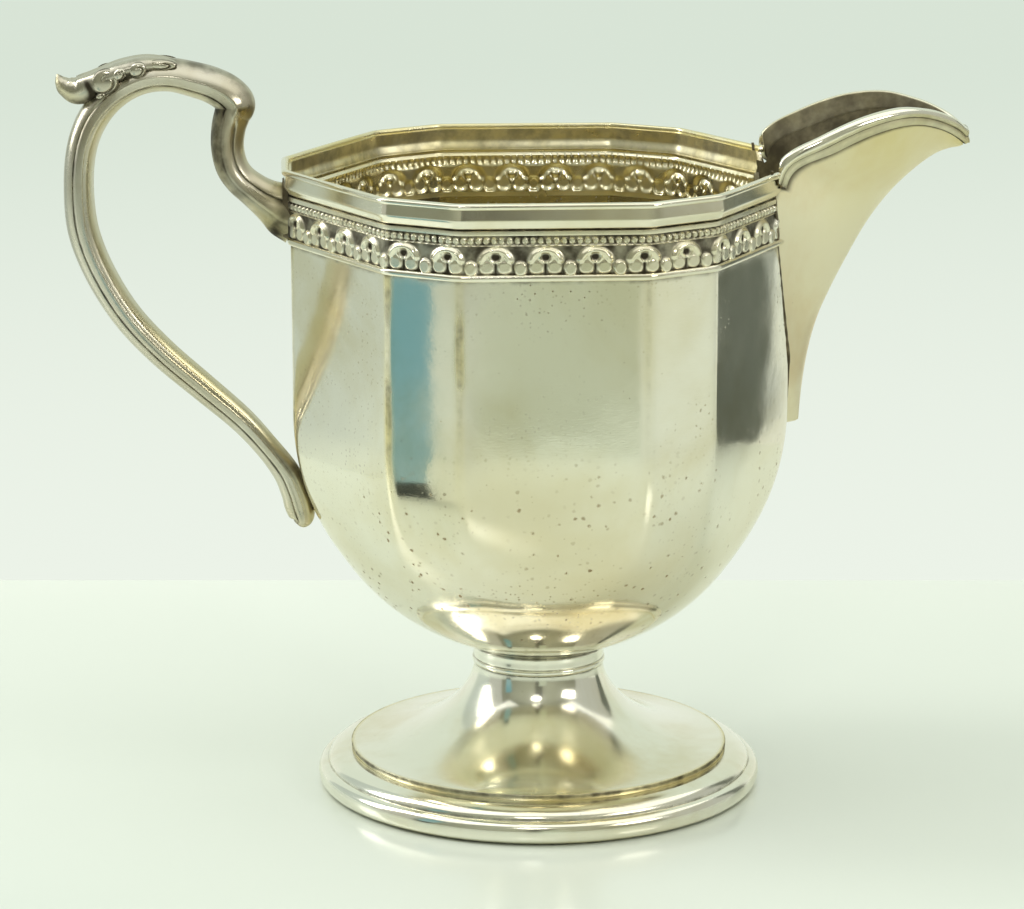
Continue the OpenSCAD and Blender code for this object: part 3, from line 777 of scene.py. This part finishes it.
def scroll_rings(rows, section, depth, per_row):
    """A section, or one for each place, carried along the middle line in the handle's plane."""
    t = np.linspace(0, len(rows) - 1, (len(rows) - 1) * per_row + 1)
    p = along(rows, t)
    step = 0.05
    ahead = along(rows, np.minimum(t + step, len(rows) - 1)) - along(rows, np.maximum(t - step, 0))
    run = unit(ahead[:, :2])
    out, side = np.moveaxis(np.broadcast_to(section, (len(t), *section.shape[-2:])), -1, 0)
    half_w, half_d = p[:, 2:3] / 2, depth * p[:, 3:4] / 2
    rings = np.stack([p[:, 0:1] + run[:, 1:2] * half_w * out, half_d * side + 0 * out,
                      p[:, 1:2] - run[:, 0:1] * half_w * out], -1)
    return t, rings


def both_sides(half, count):
    """The closed section made of a half section and its mirror image."""
    half = np.asarray(half, float)
    one = along(half, np.linspace(0, len(half) - 1, count))
    return np.concatenate([one, (one * [1, -1])[-2:0:-1]])


def make_handle():
    """The limb's section at both ends and the arch's between rows 9 and 15, carried along the
    Catmull-Rom curve through the rows, with smooth steps from one section to the other."""
    per_row, last = 12, len(HANDLE) - 1
    t = np.linspace(0, last, last * per_row + 1)[:, None, None]
    on_limb = smooth(15, 17.5, t) + smooth(9.2, 8.0, t)
    section = both_sides(ARCH_HALF, 60) * (1 - on_limb) + both_sides(LIMB_HALF, 60) * on_limb
    t, rings = scroll_rings(HANDLE, section, HANDLE_D, per_row)
    out, side, t = section[..., 0], np.abs(section[..., 1]), t[:, None]
    groove = (0.62 * hump(out - 0.33, 0.10) + 0.25 * hump(out + 0.38, 0.05)) * on_limb[..., 0]
    groove = groove * smooth(last, last - 2.5, t)
    groove = groove + 0.45 * hump(out + 0.52, 0.05) * (1 - on_limb[..., 0])
    wander = 0.60 + 0.40 * ripple(rings[..., 0], rings[..., 1], rings[..., 2], 1.7)
    joints = hump(t - 1.1, 0.9) + 0.35 * hump(t - last, 1.5)
    joints = joints + 0.5 * hump(t - last + 4, 0.5) * smooth(0.2, -0.6, out)
    notch = 0.65 * hump(t - 10, 1.6) * smooth(0, -0.7, out)
    notch = notch + 0.45 * hump(t - 6.8, 3.2) * smooth(0.2, -0.5, out)
    inside_curve = 0.10 * smooth(0.3, -0.6, out) + 0.40 * hump(t - 13, 4.5) * smooth(0.35, 0.9, out)
    gilt = np.clip(0.45 * hump(t - 7, 2.5) * smooth(0.4, 1, out) + 0.35 * smooth(-0.2, -0.9, out)
                   + 0.5 * hump(t - 1.5, 1.5) + 0.3 * hump(t - last, 3) + 0 * t, 0, 1)
    tarnish_and_shade = np.clip(groove * wander * (side > 0.25) + joints * wander + notch + inside_curve, 0, 1)
    make_tube("handle", rings, "handle_plate", ["handle"], tarnish_and_shade, 35, gilt)


LEAF_W = 8.0
# Rows of the leaf: x and z of its middle, thickness, width as a share of LEAF_W
LEAF = [
    [-50.5, 108.4, 0.8, 0.30], [-53.5, 109.0, 1.9, 0.55], [-57, 109.2, 2.5, 0.78],
    [-60.4, 108.5, 2.8, 0.86], [-63.2, 107.2, 3.3, 0.84], [-65.3, 106.0, 4.1, 0.76],
    [-67.1, 105.4, 4.0, 0.62], [-68.6, 105.9, 3.0, 0.42], [-69.35, 106.6, 2.0, 0.30],
    [-69.75, 107.3, 0.9, 0.16], [-69.9, 107.7, 0.3, 0.06]]
LEAF_HALF = [[1.0, 0.0], [0.88, 0.20], [0.86, 0.34], [0.90, 0.50], [0.72, 0.80], [0.30, 0.98],
             [-0.2, 1.0], [-0.72, 0.74], [-1.0, 0.30], [-1.0, 0.0]]
# Lobes down each side of the leaf: x, z, half length and height, tilt in degrees, how proud
LOBES = [
    [-62.9, 107.0, 2.10, 1.80, 35, 0.75],
    [-60.8, 108.1, 1.10, 0.85, 40, 0.95],
    [-63.6, 104.9, 0.75, 0.50, 20, 0.55],
    [-58.2, 108.7, 1.35, 1.10, 25, 0.80],
    [-54.8, 109.3, 2.30, 0.75, -2, 0.60]]


def make_leaf():
    """A lens section with a mid rib, and overlapping lobes down each side that end in a volute."""
    section = both_sides(LEAF_HALF, 40)
    t, rings = scroll_rings(LEAF, section, LEAF_W, 14)
    t, out = t[:, None], section[None, :, 0]
    # Painted shade: the lower half of the leaf, away from its tip, is darkened where it faces down
    # towards the handle.
    under = 0.55 * smooth(-0.1, -0.8, out) * smooth(9, 7, t)
    crease = 0.8 * hump(t - 4.95, 0.22) * smooth(0.9, 0.2, out)
    bed = 0.35 * np.abs(section[None, :, 1]) * smooth(1, 2.5, t) * smooth(6, 4.5, t)
    tarnish_and_shade = np.clip(under + bed + crease + 0.5 * hump(t - 9, 0.5), 0, 1)
    gilt = 0.5 * smooth(5, 6.5, t) * smooth(0.3, -0.5, out)
    make_tube("thumb_leaf", rings, "handle_plate", ["thumb_leaf"], tarnish_and_shade, 35, gilt)
    for number, lobe in enumerate(LOBES):
        for side, word in ((-1, "near"), (1, "far")):
            make_lobe(f"leaf_lobe_{number + 1}_{word}", side, *lobe)


def make_lobe(name, side, x, z, length, height, tilt, proud):
    """Half an ellipsoid, sunk into the leaf's side, with a spiral furrow that winds into its
    middle: it takes 0.35 exp(-(g / 0.55)^2) of the height, where g is the turn from the furrow."""
    a, b = np.meshgrid(np.linspace(0.01, pi / 2, 22), np.linspace(0, 2 * pi, 56, endpoint=False),
                       indexing="ij")
    out = np.sin(a)
    furrow_at = (out * 2.0 * pi + b) % (2 * pi) - pi
    furrow = hump(furrow_at, 0.55) * smooth(0.15, 0.4, out) * smooth(1.0, 0.85, out)
    lift = (0.75 * proud + 0.35) * np.cos(a) ** 0.6 * (1 - 0.35 * furrow) - 0.35
    along_x, along_z = length * out * np.cos(b), height * out * np.sin(b)
    turn = radians(tilt)
    base_y = 3.1 - 0.02 * (x + 60) ** 2
    points = np.stack([x + along_x * cos(turn) - along_z * sin(turn), side * (base_y + lift),
                       z + along_x * sin(turn) + along_z * cos(turn)], -1)
    tarnish_and_shade = np.clip(0.6 * furrow + 0.6 * smooth(0.80, 0.98, out), 0, 1)
    count, size = a.shape
    ends = [np.arange(size)[::-1], np.arange(size) + (count - 1) * size]
    make(name, points, grid_faces(count, size, False, True), ends, "handle_plate", [], tarnish_and_shade)


def make_handle_solder():
    """Rounded pads: the upper one a superellipse outline carried from the band to the casting,
    the lower one an ellipse laid against the bowl's wall."""
    turn = np.linspace(0, 2 * pi, 40, endpoint=False)
    depth = np.linspace(0, 1, 7)[:, None]
    swell = 1 - 0.12 * depth + 0.05 * np.sin(turn * 3 + 1)
    x = -36.5 - 1.1 * depth + 0 * turn
    rings = np.stack([x, 3.6 * squared(np.cos(turn), 0.6) * swell,
                      88 + 4.8 * squared(np.sin(turn), 0.6) * swell], -1)
    make_tube("handle_upper_solder", rings, "solder", ["handle_upper_solder"], 0.6)
    zs = np.linspace(47.5, 42.5, 16)[:, None]
    wall_x = -BOWL_R * np.sqrt(1 - ((ROUND_Z - zs) / ROUND_DEPTH) ** 2)
    half = 2.0 * np.sqrt(np.clip(1 - ((zs - 44.7) / 4.2) ** 2, 0.02, 1))
    rings = np.stack([wall_x + 0.3 - 0.55 * np.maximum(np.cos(turn), -0.4) + 0 * turn,
                      half * np.sin(turn), zs + 0 * turn], -1)
    make_tube("handle_lower_solder", rings, "solder", ["handle_lower_solder"], 0.45)


# ---- foot ----

def trumpet(t, count):
    """Quarter superellipse of power 1.78 that opens from the neck to the disc, t inside the sheet."""
    power = 1.78
    z = NECK_Z - (NECK_Z - DISC_Z + t) * np.sin(np.linspace(0, pi / 2, count))
    share = (NECK_Z - z) / (NECK_Z - DISC_Z + t)
    r = DISC_R - (DISC_R - NECK_R + t) * np.clip(1 - share ** power, 0, 1) ** (1 / power)
    return np.stack([r, z], -1)


def make_foot():
    """The trumpet as a thin sheet, and under its edge a rolled moulding: a broad ovolo (quarter
    ellipse), a groove and a squarish lip (superellipse), hollow underneath."""
    outside, inside = trumpet(0, 64), trumpet(FOOT_WALL, 40)
    edge = [[DISC_R + 0.06, DISC_Z - 0.10], [DISC_R + 0.06, DISC_Z - 0.35],
            [DISC_R - 0.1, DISC_Z - FOOT_WALL]]
    profile = np.concatenate([outside, edge, inside[::-1]])
    tarnish_and_shade = 0.6 * hump(profile[:, 0] - DISC_R - 0.06, 0.10) + 0.4 * hump(profile[:, 1] - NECK_Z, 0.25)
    gilt = 0.8 * hump(profile[:, 0] - DISC_R, 0.35)
    make_turned("foot", profile, "foot_plate", ["foot"], 256, tarnish_and_shade, 35, gilt)

    turn = np.radians(np.linspace(84, 3, 26))
    ovolo = [DISC_R + 0.1, 3.35] + np.stack([3.45 * np.cos(turn), 1.9 * np.sin(turn)], -1)
    turn = np.radians(np.linspace(72, -84, 40))
    roll = np.stack([1.95 * squared(np.cos(turn), 0.8), 1.74 * squared(np.sin(turn), 0.8)], -1)
    profile = np.concatenate([
        [[DISC_R - 1.7, DISC_Z - FOOT_WALL], [DISC_R, DISC_Z - FOOT_WALL]],
        ovolo,
        [FOOT_R - 1.75, 1.78] + roll,
        [[FOOT_R - 2.2, 0], [FOOT_R - 3.1, 0], [FOOT_R - 3.6, 0.5],
         [FOOT_R - 4, 2.6], [DISC_R - 1.7, 4.2]]])
    r, z = profile.T
    tarnish_and_shade = 0.45 * hump(r - DISC_R - 3.5, 0.10) * hump(z - 3.5, 0.3) + 0.4 * hump(r - DISC_R - 0.3, 0.15)
    tarnish_and_shade = tarnish_and_shade + 0.55 * smooth(0.35, 0.05, z)
    gilt = 0.5 * smooth(0.9, 0.1, z)
    make_turned("foot_wire", profile, "foot_plate", ["foot_wire"], 288, tarnish_and_shade, 30, gilt)


def make_stem_collar():
    """Turned ring: a plain band with a fine groove at each end that flares into the bowl's seat."""
    h = SEAT_Z - NECK_Z
    rows = [[-0.10, 0.0], [0.16, 0.05], [0.26, 0.14], [0.24, 0.24], [0.04, 0.30], [0.10, 0.36],
            [0.06, 0.60], [0.10, 0.78], [-0.06, 0.84], [0.30, 0.93], [0.9, 1.04]]
    outside = along(rows, np.linspace(0, len(rows) - 1, 64)) * [1, h] + [NECK_R, NECK_Z]
    profile = np.concatenate([outside, [[NECK_R - 4, SEAT_Z + 0.1], [NECK_R - 4, NECK_Z]]])
    up = (profile[:, 1] - NECK_Z) / h
    tarnish_and_shade = 0.45 * hump(up - 0.30, 0.04) + 0.5 * hump(up - 0.84, 0.05) + 0.4 * hump(up, 0.05)
    make_turned("stem_collar", profile, "foot_plate", ["stem_collar"], 192, tarnish_and_shade)


def finish_solder_ring():
    """The ring inside the neck keeps its CAD shape and takes the solder's finish."""
    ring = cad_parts["foot_solder_ring"]
    ring.data.materials.clear()
    ring.data.materials.append(finishes["solder"])


for make_piece in (make_bowl, make_band, make_mouldings, make_spout, make_edging, make_seam, make_handle,
                   make_leaf, make_handle_solder, make_foot, make_stem_collar, finish_solder_ring):
    make_piece()


# ---- studio ----

# The jug is turned this far from the studio's axes, in radians
YAW = 0.055


def studio(x, y, z):
    """Turns a place in the studio's axes (x right, y away, in mm) into the jug's frame, in m."""
    return (MM * (x * cos(YAW) + y * sin(YAW)), MM * (y * cos(YAW) - x * sin(YAW)), MM * z)


def plain(name, colour, rough):
    """One colour all over."""
    material = bpy.data.materials.new(name)
    material.use_nodes = True
    shader = material.node_tree.nodes["Principled BSDF"]
    shader.inputs["Base Color"].default_value = (*colour, 1)
    shader.inputs["Roughness"].default_value = rough
    return material


def glowing_wash(name, axis, start, end, first, last):
    """Paper that glows with its own light, which is painted light and not lit, its colour running from
    first to last between two places on an axis, in m.
    """
    f = Finish(name)
    colour = f.mix(f.ramp(f.part(f.place, axis), start, end), first, last)
    f.fill(f.shader, {"Base Color": (0, 0, 0), "Roughness": 1.0, "Emission Color": colour,
                      "Emission Strength": 1.0})
    return f.material


def card(name, corners, material, seen=False):
    """A flat four-cornered card; the corners are in the studio's axes, in mm. Only a card that is
    seen shows outright; the others show in the silver and light it."""
    mesh = bpy.data.meshes.new(name)
    mesh.from_pydata([studio(*c) for c in corners], [], [[0, 1, 2, 3]])
    mesh.materials.append(material)
    obj = bpy.data.objects.new(name, mesh)
    bpy.context.scene.collection.objects.link(obj)
    obj.visible_camera = seen


def upright(name, x0, x1, y, z0, z1, material):
    """An upright card that runs from left to right at distance y."""
    card(name, [(x0, y, z0), (x1, y, z0), (x1, y, z1), (x0, y, z1)], material)


def level(name, x0, x1, y0, y1, z, material, seen=False):
    """A card that lies flat at height z."""
    card(name, [(x0, y0, z), (x1, y0, z), (x1, y1, z), (x0, y1, z)], material, seen)


def lamp(name, place, aim, size, power, colour):
    """A rectangular window of light at a place, turned to face the aim, in the studio's axes."""
    light = bpy.data.lights.new(name, "AREA")
    light.shape = "RECTANGLE"
    light.size, light.size_y = size[0] * MM, size[1] * MM
    light.energy = power
    light.color = colour
    obj = bpy.data.objects.new(name, light)
    bpy.context.scene.collection.objects.link(obj)
    start, end = Vector(studio(*place)), Vector(studio(*aim))
    obj.location = start
    obj.rotation_euler = (end - start).to_track_quat("-Z", "Y").to_euler()


def dress_studio():
    """A pale table that runs into pale paper, and cards and windows of light that the silver reflects.
    The paper and several cards glow with painted light."""
    # How far the table reaches, where it ends, where the drops hang and which side they part on
    reach, table_end, drop_y, parting = 1500, 112, 113, -150
    level("table", -reach, reach, -reach, table_end, -0.05,
          plain("pale_table", (0.785, 0.833, 0.77), 0.18), True)
    # The paper, the backdrop, the side drop, the mat and the blue card below glow with painted light
    # instead of being lit.
    level("paper", -reach, reach, table_end, 2 * reach, -0.05,
          glowing_wash("pale_paper", "Y", 0.05, 0.78, (0.81, 0.865, 0.78), (0.66, 0.745, 0.645)), True)
    upright("backdrop", parting, 165, drop_y, -1, 1200,
            glowing_wash("pale_backdrop", "Z", 0, 0.09, (0.83, 0.88, 0.79), (0.70, 0.78, 0.68)))
    upright("side_drop", -reach, parting, drop_y, -1, 700,
            glowing_wash("grey_drop", "Z", 0, 0.09, (0.56, 0.63, 0.56), (0.47, 0.54, 0.49)))
    # Painted shade: a glowing sheet, out of view, that darkens the table at the left back towards the
    # drop, where the silver reflects it.
    level("left_floor_shade", -reach, parting, 30, drop_y, 0.2,
          glowing_wash("painted_floor_shade", "Y", 0.045, 0.120, (0.76, 0.84, 0.71), (0.56, 0.63, 0.56)))
    upright("grey_card", 4, 68, -292, 0, 76, plain("grey_card", (0.62, 0.64, 0.55), 0.8))
    upright("dark_card", 172, 262, drop_y, 0, 160, plain("dark_card", (0.14, 0.155, 0.14), 0.8))
    # A leaning card of three panels, by its place, the way its foot runs, how far along its edge
    # reaches and the height there
    place, run = (-92.1, -74.7), (0.565, -0.826)
    blue = glowing_wash("blue_card", "Z", 0.025, 0.06, (0.27, 0.44, 0.46), (0.17, 0.36, 0.40))
    dark = plain("dark_foot", (0.05, 0.06, 0.06), 0.8)
    edge = [(4.4, 0), (6.5, 13), (10.4, 36), (10.4, 68)]
    for number, shade in enumerate((dark, blue, blue)):
        (v_0, z_0), (v_1, z_1) = edge[number:number + 2]
        corners = [(place[0] + run[0] * v, place[1] + run[1] * v, z)
                   for v, z in ((-10, z_0), (v_0, z_0), (v_1, z_1), (-10, z_1))]
        card(f"blue_card_{number + 1}", corners, shade)
    upright("dim_room", -1400, 1400, -620, 5, 1300, plain("dim_room", (0.44, 0.43, 0.36), 0.9))
    upright("dim_doorway", -60, 70, -610, 5, 520, plain("dark_doorway", (0.15, 0.145, 0.12), 0.9))
    lamp("left_window", (-380, 95, 300), (0, 0, 40), (240, 400), 1.5, (1.0, 1.0, 0.96))
    lamp("right_window", (470, -350, 330), (0, 0, 40), (200, 130), 0.7, (1.0, 1.0, 0.97))
    lamp("front_window", (-40, -500, 400), (0, 0, 40), (110, 50), 0.25, (1.0, 1.0, 0.97))
    lamp("top_light", (0, 0, 720), (0, 0, 20), (1500, 1000), 4.0, (0.98, 1.0, 0.96))
    world = bpy.data.worlds.new("studio_air")
    world.use_nodes = True
    air = world.node_tree.nodes["Background"].inputs
    air["Color"].default_value = (0.78, 0.81, 0.72, 1)
    air["Strength"].default_value = 0.64
    bpy.context.scene.world = world


def set_camera():
    """Looks down 13.6 degrees from 600 mm away, through a long lens on a 36 mm wide sensor."""
    camera = bpy.data.cameras.new("camera")
    camera.sensor_width = 36
    camera.lens = 145.8
    camera.clip_start = 0.02
    obj = bpy.data.objects.new("camera", camera)
    bpy.context.scene.collection.objects.link(obj)
    obj.location = studio(-4.0, -600, 195.7)
    obj.rotation_euler = (pi / 2 - 0.238, 0, -YAW)
    bpy.context.scene.camera = obj


dress_studio()
set_camera()
bpy.context.scene.view_settings.view_transform = "Standard"
